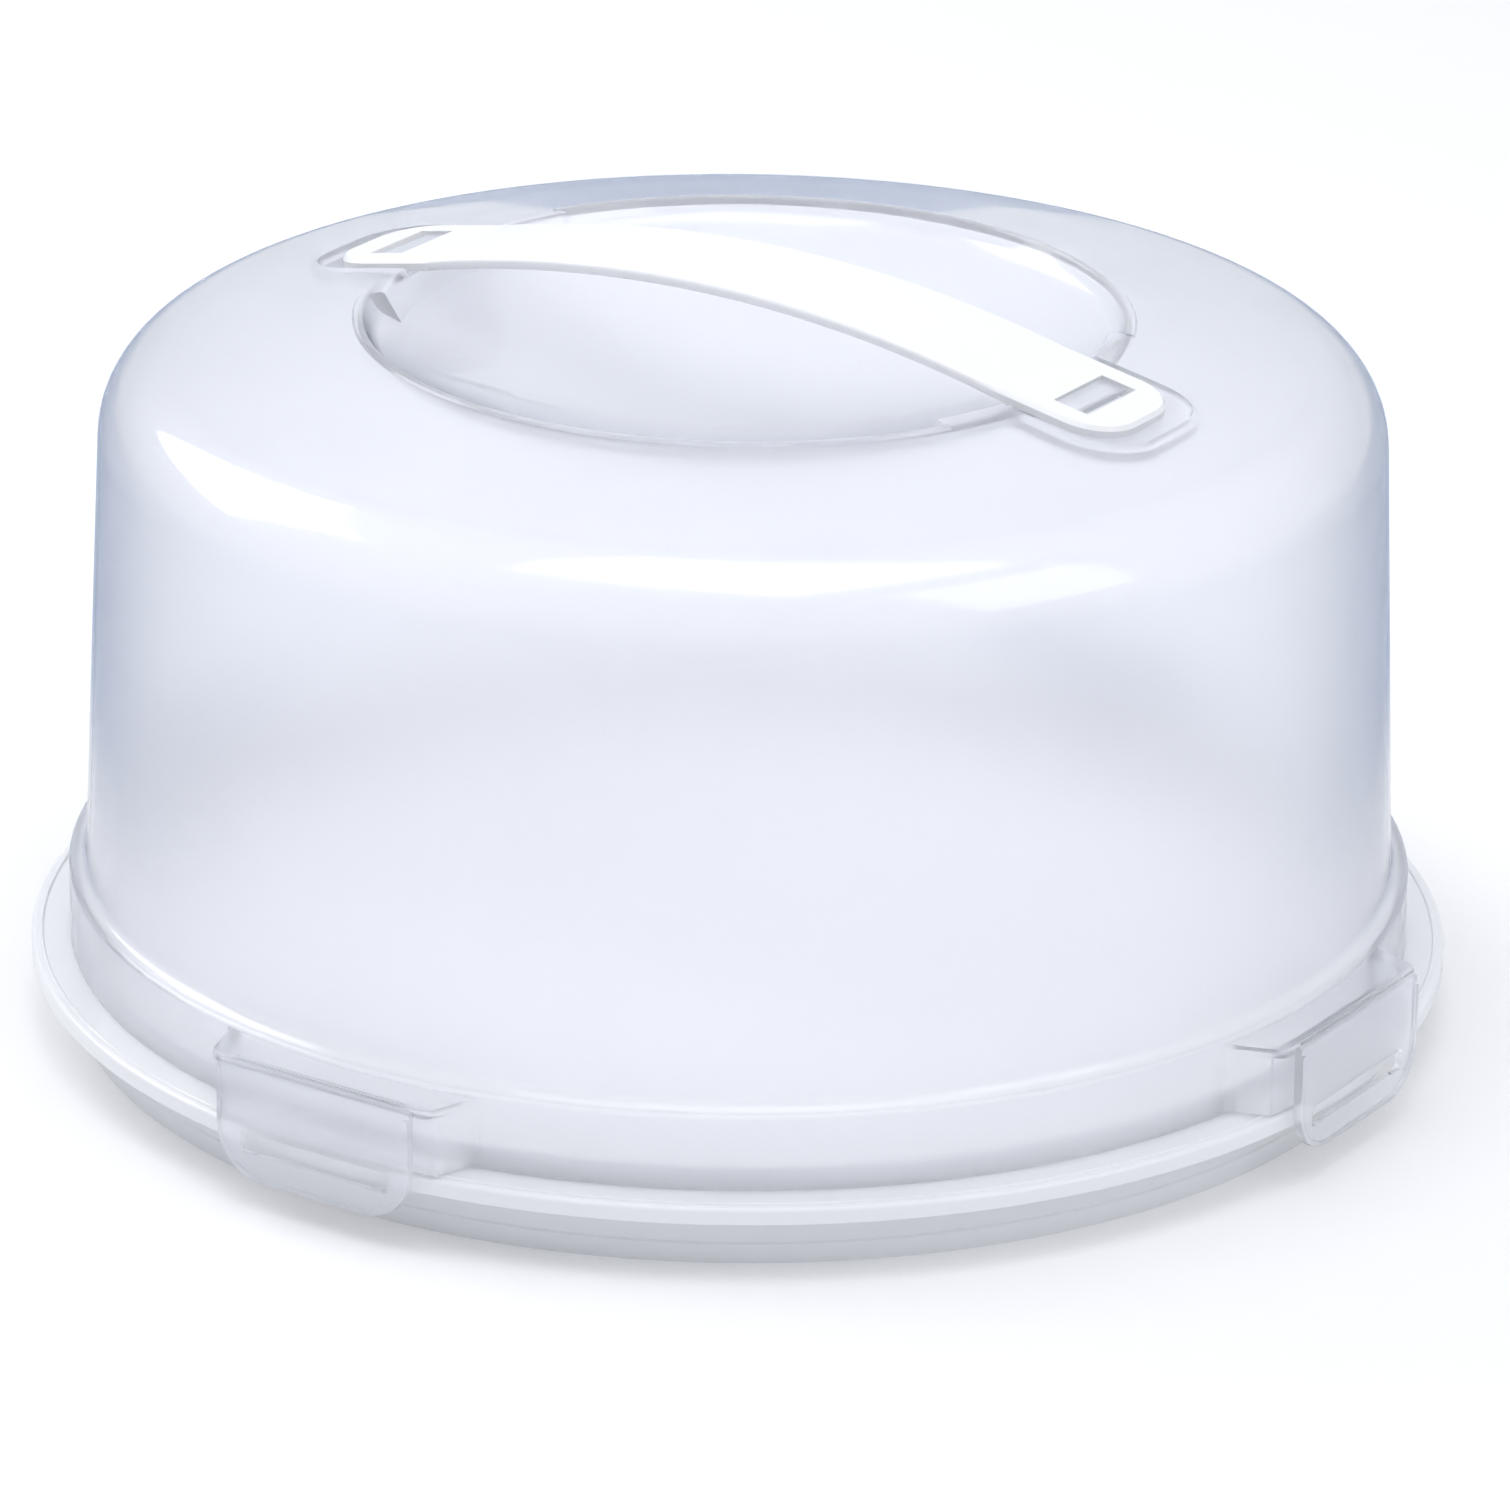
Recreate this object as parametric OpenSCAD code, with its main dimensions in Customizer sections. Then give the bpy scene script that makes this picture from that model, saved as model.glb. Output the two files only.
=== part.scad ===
// Round cake carrier: a white tray, a translucent lift-off dome with a hand dish in its top,
// a white carrying strap held by two lugs, and four hanging clips that snap over the tray's rim.
// Millimetres. The table is z = 0, the axis of the carrier is Z and the strap lies along X.

/* [Tray] */
// Radius of the tray's rim
rim_r = 170; // [165:0.5:180]
// Height of the rim's top face above the table
rim_z = 18; // [16:0.5:24]
// Height of the rim's down-turned edge
rim_edge_h = 3.9; // [3.2:0.1:4.4]
// Thickness of the rim's down-turned edge
rim_edge_t = 2.4; // [1.8:0.1:3.5]
// Thickness of the tray's plate
tray_wall = 2.2; // [1.6:0.1:2.8]
// How far the foot wall stands inside the rim's edge, at the table
foot_in = 10.7; // [9:0.1:14]
// How much wider the foot wall is at its top
foot_draft = 1.6; // [0.5:0.1:2.5]
// Height of the thicker band at the bottom of the foot wall
foot_band_h = 4.8; // [3:0.1:7]
// How far that band stands out
foot_band_t = 0.4; // [0.2:0.1:0.8]
// Height of the ring that centres the dome
ring_h = 5; // [3:0.1:8]
// Thickness of the ring that centres the dome
ring_t = 2.4; // [1.6:0.1:3]
// Radius of the bead along the rim's outer edge
bead_r = 0.5; // [0.3:0.05:0.8]
// Number of radial ribs under the plate
rib_count = 12; // [6:1:18]
// Height of the ribs under the plate
rib_h = 4; // [2:0.1:6]
// Thickness of the ribs under the plate
rib_t = 1.8; // [1.2:0.1:2.4]
// Radius of the inner ring rib, where the radial ribs start
hub_r = 42; // [35:0.5:60]
// Radius of the outer ring rib
ring_rib_r = 102; // [80:1:130]

/* [Dome] */
// Thickness of the dome's wall
dome_wall = 2; // [1.6:0.1:2.4]
// How far the skirt stands inside the rim's edge
skirt_in = 9.3; // [8:0.1:12]
// Height of the skirt, from its lower edge to its shoulder
skirt_h = 18.1; // [15:0.1:24]
// Rounding of the skirt's outer edge
skirt_round = 1.2; // [0.6:0.1:1.6]
// Width of the flat between the skirt's rounded edge and the hollow fillet
skirt_ledge = 0.1; // [0:0.1:3]
// Lean of the dome's wall from the vertical, in degrees
wall_draft = 2.55; // [1:0.05:4]
// Radius of the hollow fillet between the skirt and the wall
wall_fillet = 2.9; // [2.2:0.1:3.6]
// Radius of the shoulder between the wall and the top
shoulder_r = 20; // [12:0.5:26]
// Slope of the top, in degrees
top_slope = 10.85; // [7:0.05:13]
// Height of the dome, from the skirt's lower edge to the lip of the dish
dome_h = 152.3; // [120:0.1:170]

/* [Hand dish] */
// Radius of the dish at its lip
lip_r = 89; // [86:0.2:94]
// Rounding of the lip
lip_round = 1.2; // [0.8:0.1:2]
// Width of the raised band round the lip
lip_band_w = 3.1; // [2.6:0.1:5]
// How far that band stands above the top
lip_band_h = 0.5; // [0.3:0.05:0.8]
// Slope of the short wall below the lip, in degrees
lip_slope = 60; // [45:1:70]
// Length of the short wall below the lip
lip_step = 2; // [1:0.1:4]
// Rounding at the foot of that short wall
toe_round = 6; // [4:0.5:9]
// Slope of the bowl at its edge, in degrees
bowl_slope = 27; // [20:0.5:34]
// How far the lip steps inwards beside the strap
land_step = 3.6; // [2.5:0.1:6]
// Half the angle over which the lip is stepped in, in degrees
land_angle = 26; // [24:0.5:38]

/* [Strap] */
// Width of the strap
strap_w = 34; // [28:0.5:38]
// Thickness of the strap
strap_t = 3; // [2.4:0.1:3.6]
// Rounding of the strap's long edges
strap_round = 1.3; // [0.6:0.1:1.4]
// Height of the strap's crown above the lip of the dish
crown_h = 12.2; // [9:0.1:26]
// How far each end of the strap reaches beyond the lip of the dish
strap_over = 21.5; // [18:0.5:24]
// Radius of the strap's end corners
strap_corner = 12; // [8:0.5:15]
// Length of the strap's flat end, from its tip to the foot of the arch
flat_l = 30.5; // [29:0.5:34]
// How far the strap's flat ends stand above the dome's top
strap_proud = 0.7; // [0.2:0.1:1.2]
// Bevel round the strap's flat ends
end_bevel = 0.9; // [0.4:0.1:1.2]
// Length of strap between its tip and the window
window_bar = 9.4; // [7:0.1:11]
// Length of the window along the strap
window_l = 9.4; // [8.6:0.1:12]
// Width of the window across the strap
window_w = 21; // [15:0.5:22]

/* [Pocket and lug] */
// Gap between the strap's end and the pocket's far wall
pocket_end_gap = 6; // [4:0.1:7]
// Gap between the strap's edge and the pocket's side wall
pocket_side_gap = 3.5; // [2:0.1:4.5]
// Length of the lug along the strap
lug_l = 5; // [4:0.1:5.6]
// How far the lug's hook reaches outwards
lug_hook = 1.4; // [0.8:0.1:1.8]
// Thickness of the lug's hook
lug_hook_t = 1; // [0.8:0.1:1.2]

/* [Clips] */
// Width of a clip
clip_w = 53.4; // [45:0.1:58]
// Thickness of a clip
clip_t = 1.8; // [1.4:0.1:2.2]
// Depth of the clip below the rim's lower edge
clip_below = 6.9; // [6:0.1:9]
// Radius of a clip's lower corners
clip_corner = 12.5; // [6:0.5:14]
// Width of the rolled edge round a clip
clip_edge_w = 1.3; // [0.8:0.1:2]
// How far the rolled edge stands out
clip_edge_t = 0.5; // [0.3:0.1:0.8]
// Distance from the side of a clip to the end of the slot that takes the rim
slot_end = 6.2; // [5:0.1:10]
// Rounding of the slot's corners
slot_round = 1; // [0.5:0.1:1.8]
// How much wider than the clip the pad's face is, on each side
pad_margin = 3.3; // [2:0.1:6]
// How much wider the pad is at its root, on each side
pad_flare = 4; // [3:0.5:7]
// Radius of the hollow sweep at the pad's root
pad_round = 6; // [3:0.5:8]
// Radius of the pad's outer corners
pad_corner = 3; // [2.5:0.25:4]
// Drop from the skirt's shoulder to the pad's top
pad_drop = 1; // [0.5:0.1:2]
// Depth of the pad's upper lip
pad_lip_h = 2; // [1.6:0.1:3]
// How far the pad's face lies behind its lip
pad_setback = 1.6; // [1.4:0.1:2.4]

/* [Clearances] */
// Gap between the skirt and the rim that carries it
seat_gap = 0.3; // [0.2:0.05:0.5]
// Gap between the centring ring and the skirt
ring_gap = 0.5; // [0.3:0.1:1]
// Gap between a hanging clip and the rim, and between a clip and its pad
clip_gap = 0.3; // [0.25:0.05:0.5]
// Gap between the rim's edge and the slot, above and below
slot_gap = 0.4; // [0.3:0.05:0.6]
// Gap between the strap and the floor of its pocket
strap_gap = 0.3; // [0.2:0.05:0.5]
// Gap between the lug and the window
lug_gap = 0.5; // [0.3:0.1:1]

/* [Hidden] */
$fn = 180;
// Number of flats along a corner of the strap and its pocket
corner_n = 12;
// How far a cut runs past the face it opens
over = 1;
// How far the strap's arch runs on into each flat end
arch_lap = 1.2;
// How far each end of the raised band runs on over the land, in degrees
band_lap = 0.4;

tray_white = [0.96, 0.96, 0.97];
dome_tint = [0.84, 0.87, 0.96, 0.75];
strap_white = [0.98, 0.98, 0.98];

// Points along an arc about c, from angle a0 to a1
function arc(c, r, a0, a1, n) =
    [for (i = [0:n]) let (a = a0 + (a1 - a0) * i / n) [c[0] + r * cos(a), c[1] + r * sin(a)]];
function reversed(p) = [for (i = [len(p) - 1:-1:0]) p[i]];

// Heights and radii that several pieces share
foot_r = rim_r - foot_in;
skirt_r = rim_r - skirt_in;
strap_reach = lip_r + strap_over;
strap_flat = strap_reach - flat_l;
window_x = strap_reach - window_bar - window_l / 2;
skirt_bottom_z = rim_z + seat_gap;
skirt_z = skirt_bottom_z + skirt_h;
lip_z = skirt_bottom_z + dome_h;
crown_z = lip_z + crown_h;
skirt_inner_r = skirt_r - dome_wall;
wall_r = skirt_r - skirt_round - skirt_ledge - wall_fillet;
pad_z = skirt_z - pad_drop;
rim_low_z = rim_z - rim_edge_h;

// Hinge line of the clips: they hang just outside the rim
hinge_d = rim_r + clip_gap + clip_t / 2;
hinge_z = pad_z - clip_t / 2;
pad_face = hinge_d - clip_t / 2 - clip_gap;
clip_angles = [-90, 0, 90, 180];

// Top of the dome as a cone: height of its outer face at radius r
function top_z(r) = lip_z - tan(top_slope) * (r - lip_r);
wall_foot_z = skirt_z + wall_fillet;
function wall_at(z) = wall_r - tan(wall_draft) * (z - wall_foot_z);

// Centre of the shoulder's arc, shoulder_r inside both the wall's line and the top's line
sh_a = tan(wall_draft);
sh_b = tan(top_slope);
sh_c = wall_r + sh_a * wall_foot_z - shoulder_r / cos(wall_draft);
sh_d = lip_z + sh_b * lip_r - shoulder_r / cos(top_slope);
sh_z = (sh_d - sh_b * sh_c) / (1 - sh_a * sh_b);
sh_r = sh_c - sh_a * sh_z;

// Centres of the lip's and the toe's arcs, for a lip at radius r
function lip_centre(r) = [r + lip_round, top_z(r + lip_round) - lip_round / cos(top_slope)];
function toe_centre(r) = let (c = lip_centre(r), d = lip_round + toe_round)
    [c[0] - d * sin(lip_slope) - lip_step * cos(lip_slope),
     c[1] + d * cos(lip_slope) - lip_step * sin(lip_slope)];
bowl_start = toe_centre(lip_r) + toe_round * [sin(bowl_slope), -cos(bowl_slope)];
bowl_r = bowl_start[0] / sin(bowl_slope);
bowl_c = [0, bowl_start[1] + bowl_r * cos(bowl_slope)];

// Outline of the dish from the top face to the axis, t below the outer face
function lip_arc(c) = arc(c, lip_round, 90 - top_slope, 90 + lip_slope, 8);
function lip_mitre(t) = lip_centre(lip_r) + (lip_round - t) / cos((top_slope + lip_slope) / 2)
    * [-sin((lip_slope - top_slope) / 2), cos((lip_slope - top_slope) / 2)];
function toe_arc(r, t, a1) = arc(toe_centre(r), toe_round + t, lip_slope - 90, a1 - 90, 6);
function bowl_arc(t) = arc(bowl_c, bowl_r + t, bowl_slope - 90, -90, 14);
function dish_path(t) = concat(toe_arc(lip_r, t, bowl_slope), bowl_arc(t));
function shoulder_arc(t) = arc([sh_r, sh_z], shoulder_r - t, wall_draft, 90 - top_slope, 14);

// Foot of the wall: outer face with its rounded step, inner face t inside it
fillet_c = [wall_r + wall_fillet, wall_foot_z];
skirt_outer = concat(
    [[skirt_r, skirt_bottom_z]],
    arc([skirt_r - skirt_round, skirt_z - skirt_round], skirt_round, 0, 90, 5),
    arc(fillet_c, wall_fillet, 270, 180 + wall_draft, 7));
inner_start = -acos((skirt_inner_r - fillet_c[0]) / (wall_fillet + dome_wall)) + 360;
skirt_inner = concat(
    [[skirt_inner_r, skirt_bottom_z]],
    arc(fillet_c, wall_fillet + dome_wall, inner_start, 180 + wall_draft, 7));
shell_outer = concat(skirt_outer, shoulder_arc(0), lip_arc(lip_centre(lip_r)), dish_path(0));
shell_inner = concat(skirt_inner, shoulder_arc(dome_wall), [lip_mitre(dome_wall)], dish_path(dome_wall));

// Frame of a strap end: on the strap's upper face, tilted as the dome's top is
end_x = window_x;
end_z = top_z(end_x) + strap_proud;
module at_end(side) {
    rotate([0, 0, side > 0 ? 0 : 180])
        translate([end_x, 0, end_z])
            rotate([0, top_slope, 0])
                children();
}
end_in = (strap_flat - end_x) / cos(top_slope);
end_out = (strap_reach - end_x) / cos(top_slope);
floor_z = -strap_t - strap_gap;
tub_z = floor_z - dome_wall;

// Arch of the strap: its upper face meets the flat ends at strap_flat
flat_z = end_z - end_in * sin(top_slope);
arch_sag = crown_z - flat_z;
arch_r = (strap_flat * strap_flat + arch_sag * arch_sag) / (2 * arch_sag);
arch_half = asin(strap_flat / arch_r);
arch_turn = arch_half + asin(arch_lap / arch_r);

// Rectangle with two rounded corners at its far end, grown outwards by g
module tongue(x0, x1, w, corner, g = 0) {
    r = corner + g;
    c = [x1 + g - r, w / 2 + g - r];
    polygon(concat(
        [[x0, -w / 2 - g]],
        arc([c[0], -c[1]], r, -90, 0, corner_n),
        arc(c, r, 0, 90, corner_n),
        [[x0, w / 2 + g]]));
}

// Rectangle with rounded corners, centred
module rounded_rect(l, w, r) {
    square([l - 2 * r, w], center = true);
    square([l, w - 2 * r], center = true);
    for (x = [-1, 1])
        for (y = [-1, 1])
            translate([x * (l / 2 - r), y * (w / 2 - r)])
                circle(r = r, $fn = 48);
}

// Tray: plate, rim with its down-turned edge and bead, foot wall and centring ring
ring_r = skirt_inner_r - ring_gap;
plate_z = rim_z - tray_wall;
function foot_at(z) = foot_r + foot_draft * z / plate_z;
tray_profile = concat(
    [[0, plate_z], [foot_at(plate_z) - tray_wall, plate_z]],
    [[foot_r - tray_wall, 0], [foot_r + foot_band_t, 0]],
    [[foot_at(foot_band_h) + foot_band_t, foot_band_h]],
    [[foot_at(foot_band_h + foot_band_t), foot_band_h + foot_band_t]],
    [[foot_at(plate_z), plate_z], [rim_r - rim_edge_t, plate_z]],
    [[rim_r - rim_edge_t, rim_low_z], [rim_r, rim_low_z]],
    arc([rim_r - rim_edge_t / 2, rim_z - rim_edge_t / 2], rim_edge_t / 2, 0, 90, 6),
    arc([rim_r - rim_edge_t, rim_z], bead_r, 0, 180, 6),
    [[ring_r, rim_z]],
    arc([ring_r - ring_t / 2, rim_z + ring_h - ring_t / 2], ring_t / 2, 0, 180, 10),
    [[ring_r - ring_t, rim_z], [0, rim_z]]);

module base_tray() {
    color(tray_white) {
        rotate_extrude()
            polygon(tray_profile);
        ring_rib(hub_r);
        ring_rib(ring_rib_r);
        for (i = [0:rib_count - 1])
            rotate([0, 0, (i + 0.5) * 360 / rib_count])
                translate([hub_r, -rib_t / 2, plate_z - rib_h])
                    cube([foot_r - tray_wall / 2 - hub_r, rib_t, rib_h + tray_wall / 2]);
    }
}

// Ring rib under the plate
module ring_rib(r) {
    translate([0, 0, plate_z - rib_h])
        difference() {
            cylinder(r = r + rib_t / 2, h = rib_h + tray_wall / 2);
            translate([0, 0, -over])
                cylinder(r = r - rib_t / 2, h = rib_h + tray_wall / 2 + 2 * over);
        }
}

// Dome: revolved shell, stepped lip, pockets and lugs for the strap, pads for the clips
module dome_lid() {
    color(dome_tint) {
        difference() {
            union() {
                rotate_extrude()
                    polygon(concat(shell_outer, reversed(shell_inner)));
                for (side = [-1, 1])
                    rotate([0, 0, (side > 0 ? 0 : 180) - land_angle])
                        rotate_extrude(angle = 2 * land_angle)
                            polygon(land_profile);
                for (side = [-1, 1])
                    rotate([0, 0, (side > 0 ? 0 : 180) + land_angle - band_lap])
                        rotate_extrude(angle = 180 - 2 * land_angle + 2 * band_lap)
                            polygon(band_profile);
                for (side = [-1, 1])
                    at_end(side)
                        pocket_tub();
                for (a = clip_angles)
                    rotate([0, 0, a])
                        pad_outside();
            }
            for (side = [-1, 1])
                at_end(side)
                    pocket_space();
            for (a = clip_angles)
                rotate([0, 0, a])
                    pad_inside();
        }
        for (side = [-1, 1])
            at_end(side)
                lug();
    }
}

// Section of the land beside the strap: the top runs on inwards to its own lip, then down to the bowl
land_lip = lip_r - land_step;
land_out = [lip_r + 2 * lip_round, top_z(lip_r + 2 * lip_round)];
land_edge = lip_centre(land_lip) + lip_round * [-sin(lip_slope), cos(lip_slope)];
land_dir = [-cos(lip_slope), -sin(lip_slope)];
land_v = bowl_c - land_edge;
land_along = land_v * land_dir;
land_run = land_along + sqrt(pow(land_along, 2) - land_v * land_v + pow(bowl_r + dome_wall / 2, 2));
land_profile = concat(
    [land_out],
    lip_arc(lip_centre(land_lip)),
    [land_edge + land_run * land_dir],
    reversed(toe_arc(lip_r, dome_wall / 2, bowl_slope)),
    [lip_mitre(dome_wall / 2), land_out - [0, dome_wall / 2]]);

// Section of the raised band, whose rounded edge carries on the short wall below the lip
band_r = lip_r + lip_band_w;
band_up = lip_band_h * cos(top_slope) / sin(lip_slope + top_slope);
band_c = lip_centre(lip_r) + band_up * [cos(lip_slope), sin(lip_slope)];
band_profile = concat(
    [[band_r, top_z(band_r) - dome_wall / 2], [band_r, top_z(band_r)]],
    [[band_r - lip_band_h, top_z(band_r - lip_band_h) + lip_band_h]],
    lip_arc(band_c),
    [lip_centre(lip_r) + lip_round * [-sin(lip_slope), cos(lip_slope)], lip_mitre(dome_wall / 2)]);

// The pocket's own floor and walls, under the top, from the land's lip outwards
module pocket_tub() {
    translate([0, 0, tub_z])
        linear_extrude(height = -tub_z - strap_proud - dome_wall / 2)
            tongue((land_lip - end_x) / cos(top_slope), end_out + pocket_end_gap, strap_w + 2 * pocket_side_gap,
                strap_corner + pocket_side_gap / 2, dome_wall);
}
module pocket_space() {
    translate([0, 0, floor_z])
        linear_extrude(height = over - floor_z)
            tongue(2 * end_in, end_out + pocket_end_gap, strap_w + 2 * pocket_side_gap,
                strap_corner + pocket_side_gap / 2);
}

// Lug that stands in the strap's window, hooked outwards
lug_in = -window_l / 2 + lug_gap;
lug_w = window_w - 2 * lug_gap;
module lug() {
    translate([lug_in, -lug_w / 2, floor_z - dome_wall / 2])
        cube([lug_l, lug_w, dome_wall / 2 - floor_z - lug_gap]);
    translate([lug_in, -lug_w / 2, -lug_gap - lug_hook_t])
        cube([lug_l + lug_hook, lug_w, lug_hook_t]);
}

// Outline through points p, each inner corner rounded by its radius in r
function unit(v) = v / norm(v);
function corner(p0, p1, p2, r) =
    let (u = unit(p0 - p1), v = unit(p2 - p1), half = acos(u * v) / 2)
    let (c = p1 + r / sin(half) * unit(u + v), n = 6)
    let (s0 = p1 + r / tan(half) * u, s1 = p1 + r / tan(half) * v)
    [for (i = [0:n]) c + r * unit((1 - i / n) * (s0 - c) + i / n * (s1 - c))];
function rounded(p, r) = concat([p[0]],
    [for (i = [1:len(p) - 2]) each corner(p[i - 1], p[i], p[i + 1], r[i])], [p[len(p) - 1]]);

// Plan of a pad, facing +X: its sides sweep out of the skirt; t is how far inside the outer face
function on_skirt(w, inset) = [sqrt(pow(skirt_r - inset, 2) - w * w), w];
pad_w = clip_w / 2 + pad_margin;
pad_bottom_z = rim_z + bead_r + seat_gap;
module pad_plan(face, t) {
    root = on_skirt(pad_w + pad_flare, 0) - [t, t];
    far = on_skirt(pad_w + pad_flare + 2 * pad_round, dome_wall) - [t, t];
    edge = [face, pad_w - t];
    path = [far, root, edge, [edge[0], -edge[1]], [root[0], -root[1]], [far[0], -far[1]]];
    radii = [0, pad_round + t, pad_corner - t, pad_corner - t, pad_round + t, 0];
    polygon(rounded(path, radii));
}
module pad_outside() {
    difference() {
        union() {
            translate([0, 0, pad_z - pad_lip_h])
                linear_extrude(height = pad_lip_h)
                    pad_plan(pad_face, 0);
            translate([0, 0, pad_bottom_z])
                linear_extrude(height = pad_z - pad_bottom_z - pad_lip_h / 2)
                    intersection() {
                        pad_plan(pad_face - pad_setback, 0);
                        circle(r = rim_r - clip_gap);
                    }
        }
        translate([0, 0, skirt_bottom_z - over])
            cylinder(r = skirt_r - dome_wall / 2, h = skirt_h + 2 * over);
    }
}
module pad_inside() {
    translate([0, 0, skirt_bottom_z - over])
        linear_extrude(height = pad_z - pad_lip_h - skirt_bottom_z + over)
            intersection() {
                pad_plan(pad_face - pad_setback - dome_wall, dome_wall);
                circle(r = rim_r - clip_gap - dome_wall);
            }
}

// Strap: arched middle with rounded edges, flat tilted ends with a window each
module carry_handle() {
    color(strap_white) {
        translate([0, 0, crown_z - arch_r])
            rotate([90, 0, 0])
                rotate([0, 0, 90 - arch_turn])
                    rotate_extrude(angle = 2 * arch_turn)
                        translate([arch_r - strap_t / 2, 0])
                            rounded_rect(strap_t, strap_w, strap_round);
        for (side = [-1, 1])
            at_end(side)
                strap_end();
    }
}
module strap_end() {
    difference() {
        hull() {
            translate([0, 0, -strap_t + end_bevel / 2])
                linear_extrude(height = strap_t - 1.5 * end_bevel)
                    tongue(end_in, end_out, strap_w, strap_corner);
            translate([0, 0, -strap_t])
                linear_extrude(height = strap_t)
                    tongue(end_in, end_out, strap_w, strap_corner, -end_bevel);
        }
        cube([window_l, window_w, 3 * strap_t], center = true);
    }
}

// Clip, hanging from its hinge line at the origin, outer face towards +X
clip_h = hinge_z - rim_low_z + clip_below;
slot_l = clip_w - 2 * slot_end;
slot_h = rim_edge_h + 2 * slot_gap;
slot_z = rim_low_z - slot_gap + slot_h / 2 - hinge_z;
module clip_outline(inset) {
    w = clip_w - 2 * inset;
    r = clip_corner - inset;
    translate([-w / 2, -clip_h + inset + r])
        square([w, clip_h - 2 * inset - r]);
    translate([-w / 2 + r, -clip_h + inset])
        square([w - 2 * r, clip_h - 2 * inset]);
    for (s = [-1, 1])
        translate([s * (w / 2 - r), -clip_h + inset + r])
            circle(r = r);
}
module clip() {
    color(dome_tint)
        difference() {
            union() {
                rotate([90, 0, 90])
                    translate([0, 0, -clip_t / 2])
                        linear_extrude(height = clip_t)
                            clip_outline(0);
                rotate([90, 0, 90])
                    linear_extrude(height = clip_t / 2 + clip_edge_t)
                        difference() {
                            clip_outline(0);
                            clip_outline(clip_edge_w);
                            translate([-clip_w, -clip_edge_w])
                                square([2 * clip_w, 2 * clip_edge_w]);
                        }
                rotate([90, 0, 0])
                    cylinder(d = clip_t, h = clip_w, center = true);
            }
            translate([0, 0, slot_z])
                rotate([90, 0, 90])
                    translate([0, 0, -clip_t])
                        linear_extrude(height = 2 * clip_t)
                            rounded_rect(slot_l, slot_h, slot_round);
        }
}
module place_clip(angle) {
    rotate([0, 0, angle])
        translate([hinge_d, 0, hinge_z])
            clip();
}
module clip_front() { place_clip(clip_angles[0]); }
module clip_right() { place_clip(clip_angles[1]); }
module clip_back() { place_clip(clip_angles[2]); }
module clip_left() { place_clip(clip_angles[3]); }

base_tray();
dome_lid();
carry_handle();
clip_front();
clip_right();
clip_back();
clip_left();
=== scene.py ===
import math

import bpy
from bpy.props import FloatProperty, FloatVectorProperty, PointerProperty
from mathutils import Matrix, Quaternion, Vector


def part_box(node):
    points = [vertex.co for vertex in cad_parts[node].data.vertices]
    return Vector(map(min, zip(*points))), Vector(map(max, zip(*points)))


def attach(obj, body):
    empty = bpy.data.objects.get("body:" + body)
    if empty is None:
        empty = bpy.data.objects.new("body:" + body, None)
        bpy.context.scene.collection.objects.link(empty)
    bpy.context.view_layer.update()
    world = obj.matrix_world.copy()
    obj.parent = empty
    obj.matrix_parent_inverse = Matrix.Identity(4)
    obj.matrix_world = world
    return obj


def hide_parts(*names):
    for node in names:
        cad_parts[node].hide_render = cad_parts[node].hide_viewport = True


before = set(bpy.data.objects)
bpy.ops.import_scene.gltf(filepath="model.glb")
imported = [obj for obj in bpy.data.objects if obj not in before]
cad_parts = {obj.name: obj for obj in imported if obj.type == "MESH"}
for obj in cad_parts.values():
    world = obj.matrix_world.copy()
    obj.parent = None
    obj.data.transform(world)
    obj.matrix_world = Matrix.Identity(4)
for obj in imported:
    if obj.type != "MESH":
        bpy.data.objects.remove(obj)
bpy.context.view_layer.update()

bl_info = {
    "name": "Cake carrier",
    "version": (1, 0, 0),
    "blender": (4, 5, 0),
    "location": "View3D > Sidebar > Carrier",
    "description": "Finishes a translucent cake carrier round its packed model "
                   "and sets it in a white studio",
    "category": "Object",
}

# The sides that have a clip, in quarter turns from the front
SIDES = ("front", "right", "back", "left")

# Meshes: points nearer than this are merged, faces this near to flat are joined, edges below the next
# angle are shaded smooth and edges above the last are bevelled; metres and degrees
MERGE_WITHIN = 2e-6
FLAT_WITHIN = 0.3
SMOOTH_BELOW = 30
BEVEL_ABOVE = 40
BEVEL_SEGMENTS = 2

# Nibs on the floor of each clip's slot: how far each stands from the clip's middle, its length and
# height, the lower edge of the slot, its depth into that edge, where it starts and ends behind the
# clip's outer face, and the rounding of its edges
NIB_PLACE = 0.0178
NIB_LENGTH = 0.0038
NIB_HEIGHT = 0.00032
SLOT_FLOOR = 0.0137
NIB_SUNK = 0.0002
NIB_START = 0.0004
NIB_END = 0.0014
NIB_ROUND = 0.00012

# Hinge films, measured inwards and up from the clips' hinge line: the web's start and end, half its
# thickness and its rounding, then how far in and up each bead runs, and its radius
HINGE_OUT = 0.1712
HINGE_UP = 0.0345
WEB_START = 0.0007
WEB_END = 0.0014
WEB_HALF = 0.0005
WEB_ROUND = 0.0001
BEADS = {"lower bead": (0.00103, 0.0005, 0.00026), "upper bead": (0.0021, 0.0009, 0.00022)}
BEAD_SIDES = 12
BEAD_END_ROUND = 0.4

# Plastics: the range that noise mostly keeps to, the darker part of the clouding in each plastic, how
# uneven the gloss is, and how sharply the dome's tint gathers where it is seen edge on
NOISE_RANGE = (0.3, 0.7)
WHITE_CLOUDS = 0.985
WHITE_ROUGHNESS = (0.285, 0.32)
MILKY_CLOUDS = (0.985, 0.99, 1.0)
MILKY_UNEVEN = (0.92, 1.08)
EDGE_POWER = 6.0

# Floor: its size, its colour, how much it glows where it is seen, and the deeper colour of a painted
# reflection that only a glossy skin sees, with the distances from the carrier's axis between which that
# comes in
FLOOR_SIZE = 12
FLOOR_COLOUR = (0.9, 0.9, 0.905)
FLOOR_LIFT = 0.1
DIM_FLOOR = (0.48, 0.55, 0.7)
DIM_FROM = 0.2
DIM_TO = 0.32

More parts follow.
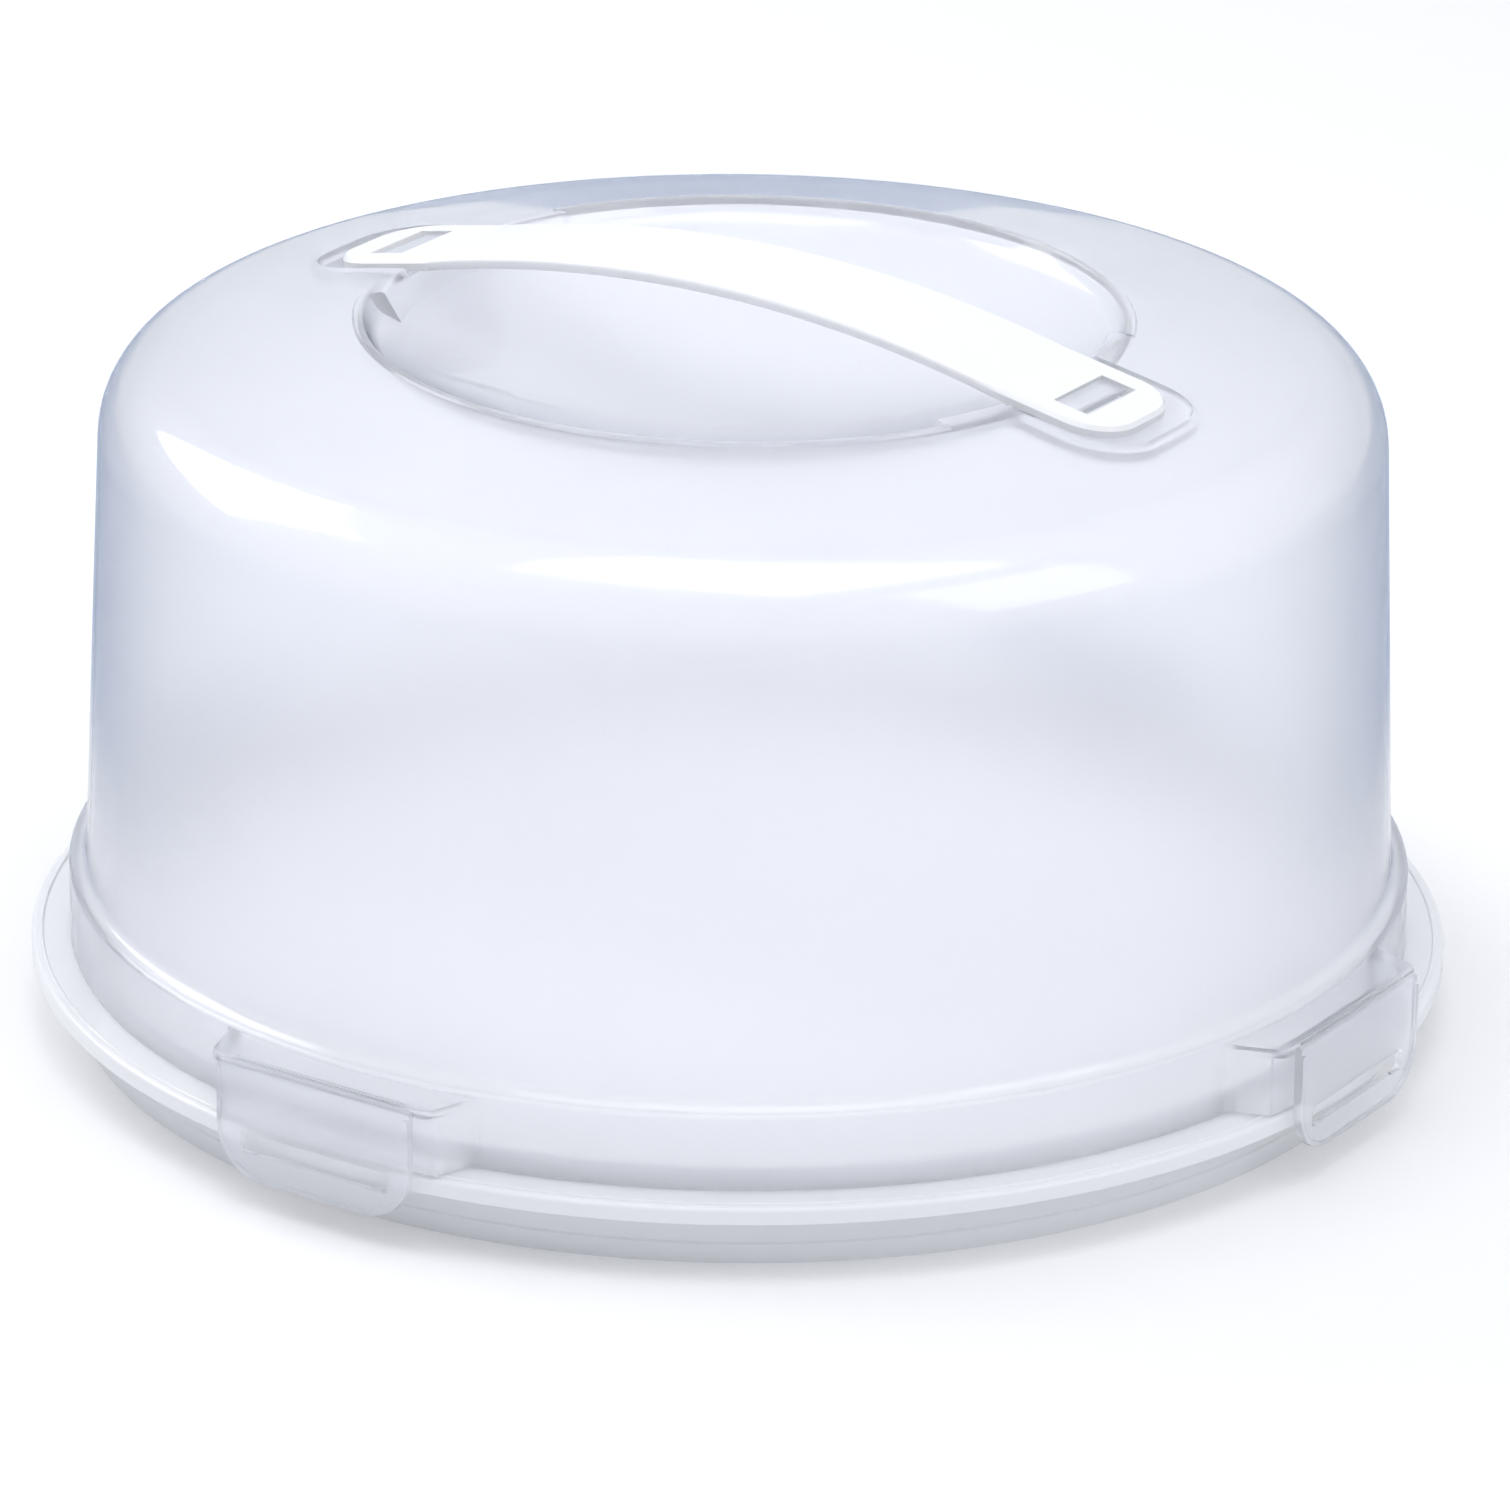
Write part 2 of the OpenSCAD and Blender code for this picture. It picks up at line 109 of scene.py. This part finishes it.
# Room: the colour of its light, and what a glossy skin mirrors from the horizon up to this height
ROOM_LIGHT = (0.9, 0.93, 1.0)
HORIZON = (0.9, 0.94, 1.0)
ZENITH = (0.85, 0.88, 0.95)
ZENITH_HEIGHT = 0.75

# Studio: places are as the camera sees them, to its right, away from it and up, and the camera looks at
# the carrier from CAMERA_TURN degrees round its axis; sizes are width and height
CAMERA_TURN = 33.6
CAMERA_PLACE = (0, -1.829, 0.785)
CAMERA_AIM = (0.00363, 0, 0.0592)
CAMERA_ROLL = 0.67
CAMERA_NEAR = 0.05
OVERHEAD_PLACE = (0.02, -0.23, 1.66)
OVERHEAD_SIZE = (1.18, 1.14)
LEFT_PLACE = (-1.42, 0.87, 1.37)
LEFT_SIZE = (1.36, 1.12)
RIGHT_PLACE = (1.42, -0.95, 1.38)
RIGHT_SIZE = (1.1, 1.3)
SOFTBOX_AIM = (0, 0, 0.1)


# Plain helpers

def studio_point(side, away, up):
    """A point given as the camera sees the studio, turned into the carrier's own frame."""
    turn = math.radians(CAMERA_TURN)
    x = side * math.cos(turn) - away * math.sin(turn)
    y = side * math.sin(turn) + away * math.cos(turn)
    return Vector((x, y, up))


def linked(name, data):
    """A new object in the scene."""
    obj = bpy.data.objects.new(name, data)
    bpy.context.scene.collection.objects.link(obj)
    return obj


def deselect():
    """Leaves object mode with nothing selected."""
    if bpy.context.object and bpy.context.object.mode != "OBJECT":
        bpy.ops.object.mode_set(mode="OBJECT")
    bpy.ops.object.select_all(action="DESELECT")


def only(obj):
    """Makes one object the selected and active one."""
    deselect()
    obj.select_set(True)
    bpy.context.view_layer.objects.active = obj


def dress(obj, material):
    """Gives an object one material all over."""
    obj.data.materials.clear()
    obj.data.materials.append(material)
    for face in obj.data.polygons:
        face.material_index = 0


def shade_smooth():
    """Shades the selected object smooth, except at its sharp edges."""
    bpy.ops.object.shade_smooth_by_angle(angle=math.radians(SMOOTH_BELOW))


def smooth_copy(node, name):
    """A merged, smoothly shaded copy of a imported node, which then stands for it."""
    obj = linked(name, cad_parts[node].data.copy())
    only(obj)
    bpy.ops.object.mode_set(mode="EDIT")
    bpy.ops.mesh.select_all(action="SELECT")
    bpy.ops.mesh.remove_doubles(threshold=MERGE_WITHIN)
    bpy.ops.object.mode_set(mode="OBJECT")
    if obj.data.has_custom_normals:
        bpy.ops.mesh.customdata_custom_splitnormals_clear()
    shade_smooth()
    return obj


def flat_faces_joined(obj):
    """Joins the triangles of each flat face, so that a bevel meets clean edges."""
    only(obj)
    bpy.ops.object.mode_set(mode="EDIT")
    bpy.ops.mesh.select_all(action="SELECT")
    bpy.ops.mesh.dissolve_limited(angle_limit=math.radians(FLAT_WITHIN))
    bpy.ops.object.mode_set(mode="OBJECT")
    return obj


def bevelled(obj, width):
    """Rounds an object's sharp edges."""
    only(obj)
    made = obj.modifiers.new("rounding", "BEVEL")
    made.width = width
    made.segments = BEVEL_SEGMENTS
    made.limit_method = "ANGLE"
    made.angle_limit = math.radians(BEVEL_ABOVE)
    bpy.ops.object.modifier_apply(modifier=made.name)
    shade_smooth()
    return obj


def block(name, low, high, rounding):
    """A small moulded block between two corners, its edges rounded in edit mode."""
    low, high = Vector(low), Vector(high)
    deselect()
    bpy.ops.mesh.primitive_cube_add(size=1, location=(low + high) / 2)
    obj = bpy.context.object
    obj.name = name
    obj.scale = high - low
    bpy.ops.object.transform_apply(location=True, rotation=True, scale=True)
    bpy.ops.object.mode_set(mode="EDIT")
    bpy.ops.mesh.select_all(action="SELECT")
    bpy.ops.mesh.bevel(offset=rounding, segments=BEVEL_SEGMENTS, affect="EDGES")
    bpy.ops.object.mode_set(mode="OBJECT")
    return obj


def bead(name, half, inwards, up, radius):
    """A thin rod along the front hinge line, its ends rounded."""
    deselect()
    bpy.ops.mesh.primitive_cylinder_add(vertices=BEAD_SIDES, radius=radius, depth=half * 2,
                                        location=(0, -HINGE_OUT + inwards, HINGE_UP + up),
                                        rotation=(0, math.pi / 2, 0))
    obj = bpy.context.object
    obj.name = name
    bpy.ops.object.transform_apply(location=True, rotation=True, scale=True)
    return bevelled(obj, radius * BEAD_END_ROUND)


def joined(parts):
    """Several meshes made one object, the first."""
    deselect()
    for part in parts:
        part.select_set(True)
    bpy.context.view_layer.objects.active = parts[0]
    bpy.ops.object.join()
    shade_smooth()
    return parts[0]


def on_four_sides(piece, naming):
    """The front's piece, and its copies turned about the carrier's axis to the other three sides."""
    piece.name = naming % SIDES[0]
    pieces = [piece]
    for turns, side in enumerate(SIDES[1:], start=1):
        copy = linked(naming % side, piece.data.copy())
        copy.data.transform(Matrix.Rotation(math.radians(90 * turns), 4, "Z"))
        pieces.append(copy)
    return pieces


# Materials

class Nodes:
    """The nodes of a material or world under construction."""

    def __init__(self, tree):
        self.tree = tree

    def node(self, kind, **values):
        """A new node, with plain values for its inputs and settings."""
        made = self.tree.nodes.new(kind)
        for key, value in values.items():
            if key in made.inputs:
                made.inputs[key].default_value = value
            else:
                setattr(made, key, value)
        return made

    def feed(self, place, value):
        """Links a socket to an input, or gives the input a plain value."""
        if isinstance(value, bpy.types.NodeSocket):
            self.tree.links.new(value, place)
        else:
            place.default_value = value

    def maths(self, operation, first, second, clamped=False):
        """One sum of two values."""
        made = self.node("ShaderNodeMath", operation=operation, use_clamp=clamped)
        self.feed(made.inputs[0], first)
        self.feed(made.inputs[1], second)
        return made.outputs[0]

    def spread(self, value, start, end, low=0, high=1, curve="LINEAR"):
        """A value's range from start to end, spread from low to high."""
        made = self.node("ShaderNodeMapRange", interpolation_type=curve,
                         **{"From Min": start, "From Max": end, "To Min": low, "To Max": high})
        self.feed(made.inputs["Value"], value)
        return made.outputs["Result"]

    def blend(self, share, first, second):
        """A colour between two, each of which is plain or a socket."""
        made = self.node("ShaderNodeMix", data_type="RGBA")
        self.feed(made.inputs["Factor"], share)
        places = [part for part in made.inputs if part.type == "RGBA"]
        for place, colour in zip(places, (first, second)):
            self.feed(place, colour if isinstance(colour, bpy.types.NodeSocket) else (*colour, 1))
        return [part for part in made.outputs if part.type == "RGBA"][0]

    def mixed(self, share, first, second):
        """A shader between two."""
        made = self.node("ShaderNodeMixShader")
        for place, value in zip(made.inputs, (share, first, second)):
            self.feed(place, value)
        return made.outputs[0]

    def seen(self, rays):
        """One for what the camera sees, also through clear plastic, and otherwise nought."""
        return self.maths("MAXIMUM", rays["Is Camera Ray"], rays["Is Transmission Ray"])


class Shader(Nodes):
    """A material under construction round one Principled shader."""

    def __init__(self, name):
        self.material = bpy.data.materials.new(name)
        self.material.use_nodes = True
        super().__init__(self.material.node_tree)
        self.shader = self.tree.nodes["Principled BSDF"]
        self.coords = self.node("ShaderNodeTexCoord").outputs["Object"]

    def set(self, **values):
        """Feeds the shader's inputs, with an underscore for each space in their names."""
        for key, value in values.items():
            self.feed(self.shader.inputs[key.replace("_", " ")], value)

    def noise(self, scale, detail=2):
        """Noise on the piece's own coordinates."""
        made = self.node("ShaderNodeTexNoise", Scale=scale, Detail=detail)
        self.feed(made.inputs["Vector"], self.coords)
        return made.outputs["Fac"]

    def bump(self, value, strength, distance):
        """Raises the skin where the value is high."""
        made = self.node("ShaderNodeBump", Strength=strength, Distance=distance)
        self.feed(made.inputs["Height"], value)
        self.set(Normal=made.outputs["Normal"])


def white_plastic(name, colour):
    """Opaque glossy white polypropylene: faint clouding, slightly uneven gloss, a fine moulded skin."""
    made = Shader(name)
    darker = tuple(part * WHITE_CLOUDS for part in colour)
    made.set(IOR=1.49, Coat_Weight=0.35, Coat_Roughness=0.1,
             Base_Color=made.blend(made.noise(scale=14), darker, colour),
             Roughness=made.spread(made.noise(scale=24, detail=1), *NOISE_RANGE, *WHITE_ROUGHNESS))
    made.bump(made.noise(scale=260), strength=0.03, distance=0.0002)
    return made.material


def milky_plastic(name, colour, edge, clear, rough):
    """Translucent milky polypropylene: hazy body, glossy skin, deeper tint where it is seen edge on."""
    made = Shader(name)
    bluer = tuple(part * share for part, share in zip(colour, MILKY_CLOUDS))
    body = made.blend(made.noise(scale=9), bluer, colour)
    facing = made.node("ShaderNodeLayerWeight", Blend=0.5).outputs["Facing"]
    uneven = [rough * share for share in MILKY_UNEVEN]
    made.set(IOR=1.15, Transmission_Weight=clear, Coat_Weight=1.0, Coat_Roughness=0.03, Coat_IOR=1.5,
             Base_Color=made.blend(made.maths("POWER", facing, EDGE_POWER), body, edge),
             Roughness=made.spread(made.noise(scale=30), *NOISE_RANGE, *uneven))
    made.bump(made.noise(scale=22), strength=0.05, distance=0.002)
    return made.material


def clip_plastic(name, settings):
    """The dome's plastic as the clips and their films have it, with no deeper tint at its edges."""
    return milky_plastic(name, settings.dome_colour, settings.dome_colour, settings.clip_clear,
                         settings.dome_haze)


# Sizes and colours that a user would change

class CarrierSettings(bpy.types.PropertyGroup):
    """Colours and finish of the carrier's plastics."""
    tray_colour: FloatVectorProperty(
        name="Tray colour", description="Colour of the opaque tray",
        subtype="COLOR", size=3, min=0, max=1, default=(0.89, 0.895, 0.91))
    strap_colour: FloatVectorProperty(
        name="Strap colour", description="Colour of the carrying strap",
        subtype="COLOR", size=3, min=0, max=1, default=(0.9, 0.9, 0.91))
    dome_colour: FloatVectorProperty(
        name="Dome colour", description="Tint of the translucent dome and clips",
        subtype="COLOR", size=3, min=0, max=1, default=(0.97, 0.976, 1.0))
    dome_edge: FloatVectorProperty(
        name="Dome edge", description="Deeper tint of the dome where it is seen edge on",
        subtype="COLOR", size=3, min=0, max=1, default=(0.5, 0.6, 0.84))
    dome_clear: FloatProperty(
        name="Dome clearness", description="Share of the light that passes through the dome's plastic",
        min=0, max=1, default=0.9)
    dome_haze: FloatProperty(
        name="Dome haze", description="Roughness of the dome's plastic, which blurs what is behind it",
        min=0, max=1, default=0.36)
    clip_clear: FloatProperty(
        name="Clip clearness", description="Share of the light that passes through the clips' plastic",
        min=0, max=1, default=0.85)
    clip_round: FloatProperty(
        name="Clip rounding", description="Radius of the clips' moulded edges",
        unit="LENGTH", min=0, default=0.00022)
    film_length: FloatProperty(
        name="Film length", description="Length of the thin film that each clip hinges on",
        unit="LENGTH", min=0.02, default=0.047)


class StudioSettings(bpy.types.PropertyGroup):
    """The studio's light and camera."""
    lens: FloatProperty(
        name="Lens", description="Focal length of the camera, in millimetres on a 36 mm sensor",
        min=20, max=400, default=195.83)
    overhead_glow: FloatProperty(
        name="Overhead glow", description="Radiance of the softbox above the carrier",
        min=0, default=2.1)
    left_glow: FloatProperty(
        name="Left glow", description="Radiance of the softbox behind the carrier on the left",
        min=0, default=2.8)
    right_glow: FloatProperty(
        name="Right glow", description="Radiance of the weak softbox in front on the right",
        min=0, default=1.3)
    surround: FloatProperty(
        name="Surround", description="Strength of the pale light from all sides",
        min=0, max=2, default=0.66)


# Operators

class CARRIER_OT_tray(bpy.types.Operator):
    """Gives the tray its smooth skin"""
    bl_idname = "carrier.tray"
    bl_label = "Tray"

    def execute(self, context):
        settings = context.scene.carrier
        obj = smooth_copy("base_tray", "tray")
        dress(obj, white_plastic("tray white", settings.tray_colour))
        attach(obj, "tray")
        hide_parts("base_tray")
        return {"FINISHED"}


class CARRIER_OT_dome(bpy.types.Operator):
    """Gives the dome its translucent skin"""
    bl_idname = "carrier.dome"
    bl_label = "Dome"

    def execute(self, context):
        settings = context.scene.carrier
        obj = smooth_copy("dome_lid", "dome")
        dress(obj, milky_plastic("dome milky", settings.dome_colour, settings.dome_edge,
                                 settings.dome_clear, settings.dome_haze))
        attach(obj, "lid")
        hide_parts("dome_lid")
        return {"FINISHED"}


class CARRIER_OT_strap(bpy.types.Operator):
    """Gives the carrying strap its skin"""
    bl_idname = "carrier.strap"
    bl_label = "Strap"

    def execute(self, context):
        settings = context.scene.carrier
        obj = smooth_copy("carry_handle", "strap")
        dress(obj, white_plastic("strap white", settings.strap_colour))
        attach(obj, "handle")
        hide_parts("carry_handle")
        return {"FINISHED"}


class CARRIER_OT_clips(bpy.types.Operator):
    """Gives the four clips their skin and rounded edges, and the nibs in their slots"""
    bl_idname = "carrier.clips"
    bl_label = "Clips"

    def execute(self, context):
        settings = context.scene.carrier
        material = clip_plastic("clip milky", settings)
        for side in SIDES:
            obj = flat_faces_joined(smooth_copy("clip_" + side, "clip." + side))
            dress(bevelled(obj, settings.clip_round), material)
            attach(obj, side + "_clip")
            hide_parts("clip_" + side)
        outer_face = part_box("clip_front")[0][1]
        ends = [block("nib",
                      (middle - NIB_LENGTH / 2, outer_face + NIB_START, SLOT_FLOOR - NIB_SUNK),
                      (middle + NIB_LENGTH / 2, outer_face + NIB_END, SLOT_FLOOR + NIB_HEIGHT),
                      NIB_ROUND)
                for middle in (-NIB_PLACE, NIB_PLACE)]
        for side, obj in zip(SIDES, on_four_sides(joined(ends), "clip.%s.nibs")):
            dress(obj, material)
            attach(obj, side + "_clip")
        return {"FINISHED"}


class CARRIER_OT_hinges(bpy.types.Operator):
    """Moulds the thin film between each pad and its clip, with the beads along it"""
    bl_idname = "carrier.hinges"
    bl_label = "Hinge films"

    def execute(self, context):
        settings = context.scene.carrier
        material = clip_plastic("film milky", settings)
        half = settings.film_length / 2
        web = block("web", (-half, -HINGE_OUT + WEB_START, HINGE_UP - WEB_HALF),
                    (half, -HINGE_OUT + WEB_END, HINGE_UP + WEB_HALF), WEB_ROUND)
        beads = [bead(name, half, *place) for name, place in BEADS.items()]
        for obj in on_four_sides(joined([web, *beads]), "film.%s"):
            dress(obj, material)
            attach(obj, "lid")
        return {"FINISHED"}


def floor_material():
    """White floor: lit paper that keeps the shadow, lifted a little where it is seen. Glossy rays alone
    see it deepen away from the carrier, a painted reflection which draws the dome's outline."""
    made = Shader("studio floor")
    rays = made.node("ShaderNodeLightPath").outputs
    made.set(Base_Color=(*FLOOR_COLOUR, 1), Roughness=0.6, Specular_IOR_Level=0.2,
             Emission_Color=(1, 1, 1, 1),
             Emission_Strength=made.maths("MULTIPLY", made.seen(rays), FLOOR_LIFT))
    # Painted reflection: only glossy rays see the floor take this deeper colour away from the carrier's
    # axis
    away = made.node("ShaderNodeVectorMath", operation="LENGTH")
    made.feed(away.inputs[0], made.coords)
    far = made.spread(away.outputs["Value"], DIM_FROM, DIM_TO, curve="SMOOTHSTEP")
    # A ray that clear plastic bends on its way counts as glossy too, and is left out here
    mirrored = made.maths("SUBTRACT", rays["Is Glossy Ray"], rays["Is Transmission Ray"], clamped=True)
    dim = made.node("ShaderNodeEmission", Color=(*DIM_FLOOR, 1))
    surface = made.mixed(made.maths("MULTIPLY", far, mirrored), made.shader.outputs[0], dim.outputs[0])
    made.feed(made.tree.nodes["Material Output"].inputs["Surface"], surface)
    return made.material


def surround_world(strength):
    """Pale light from all sides. The camera and clear plastic see it as white, and a glossy skin as a
    pale room that is a little deeper overhead."""
    world = bpy.data.worlds.new("studio surround")
    bpy.context.scene.world = world
    world.use_nodes = True
    made = Nodes(world.node_tree)
    lit = made.tree.nodes["Background"]
    made.feed(lit.inputs["Color"], (*ROOM_LIGHT, 1))
    made.feed(lit.inputs["Strength"], strength)
    white = made.node("ShaderNodeBackground", Color=(1, 1, 1, 1))
    rays = made.node("ShaderNodeLightPath").outputs
    split = made.node("ShaderNodeSeparateXYZ")
    made.feed(split.inputs[0], made.node("ShaderNodeTexCoord").outputs["Generated"])
    room = made.node("ShaderNodeBackground")
    height = made.spread(split.outputs["Z"], 0, ZENITH_HEIGHT)
    made.feed(room.inputs["Color"], made.blend(height, HORIZON, ZENITH))
    unseen = made.mixed(rays["Is Glossy Ray"], lit.outputs[0], room.outputs[0])
    surface = made.mixed(made.seen(rays), unseen, white.outputs[0])
    made.feed(made.tree.nodes["World Output"].inputs["Surface"], surface)


def softbox(name, place, aim, size, glow):
    """A rectangular lamp of a given radiance at one point, facing another."""
    width, height = size
    data = bpy.data.lights.new(name, "AREA")
    data.shape = "RECTANGLE"
    data.size = width
    data.size_y = height
    data.energy = glow * math.pi * width * height
    obj = linked(name, data)
    obj.location = place
    obj.rotation_euler = (aim - place).to_track_quat("-Z", "Y").to_euler()


class CARRIER_OT_stage(bpy.types.Operator):
    """Builds the floor, the soft studio light and the camera"""
    bl_idname = "carrier.stage"
    bl_label = "Stage"

    def execute(self, context):
        scene = context.scene
        studio = scene.studio
        scene.view_settings.view_transform = "Standard"
        deselect()
        bpy.ops.mesh.primitive_plane_add(size=FLOOR_SIZE, location=(0, 0, 0))
        floor = context.object
        floor.name = "floor"
        dress(floor, floor_material())
        surround_world(studio.surround)
        over = studio_point(*OVERHEAD_PLACE)
        middle = Vector(SOFTBOX_AIM)
        softbox("overhead softbox", over, over - Vector((0, 0, 1)), OVERHEAD_SIZE, studio.overhead_glow)
        softbox("left softbox", studio_point(*LEFT_PLACE), middle, LEFT_SIZE, studio.left_glow)
        softbox("right softbox", studio_point(*RIGHT_PLACE), middle, RIGHT_SIZE, studio.right_glow)
        data = bpy.data.cameras.new("camera")
        data.lens = studio.lens
        data.clip_start = CAMERA_NEAR
        camera = linked("camera", data)
        camera.location = studio_point(*CAMERA_PLACE)
        camera.rotation_mode = "QUATERNION"
        upright = (studio_point(*CAMERA_AIM) - camera.location).to_track_quat("-Z", "Y")
        camera.rotation_quaternion = upright @ Quaternion((0, 0, 1), math.radians(CAMERA_ROLL))
        scene.camera = camera
        return {"FINISHED"}


class CARRIER_PT_panel(bpy.types.Panel):
    """Lists the carrier's pieces and the stage"""
    bl_idname = "CARRIER_PT_panel"
    bl_label = "Cake carrier"
    bl_space_type = "VIEW_3D"
    bl_region_type = "UI"
    bl_category = "Carrier"

    def draw(self, context):
        layout = self.layout
        for group in (context.scene.carrier, context.scene.studio):
            for key in group.__annotations__:
                layout.prop(group, key)
        for operator in OPERATORS:
            layout.operator(operator.bl_idname)


OPERATORS = (CARRIER_OT_stage, CARRIER_OT_tray, CARRIER_OT_dome, CARRIER_OT_strap, CARRIER_OT_clips,
             CARRIER_OT_hinges)
CLASSES = (CarrierSettings, StudioSettings, *OPERATORS, CARRIER_PT_panel)


def register():
    for made in CLASSES:
        bpy.utils.register_class(made)
    bpy.types.Scene.carrier = PointerProperty(type=CarrierSettings)
    bpy.types.Scene.studio = PointerProperty(type=StudioSettings)


def unregister():
    del bpy.types.Scene.studio
    del bpy.types.Scene.carrier
    for made in reversed(CLASSES):
        bpy.utils.unregister_class(made)


def main():
    register()
    bpy.ops.carrier.stage()
    bpy.ops.carrier.tray()
    bpy.ops.carrier.dome()
    bpy.ops.carrier.strap()
    bpy.ops.carrier.clips()
    bpy.ops.carrier.hinges()


if __name__ == "__main__":
    main()
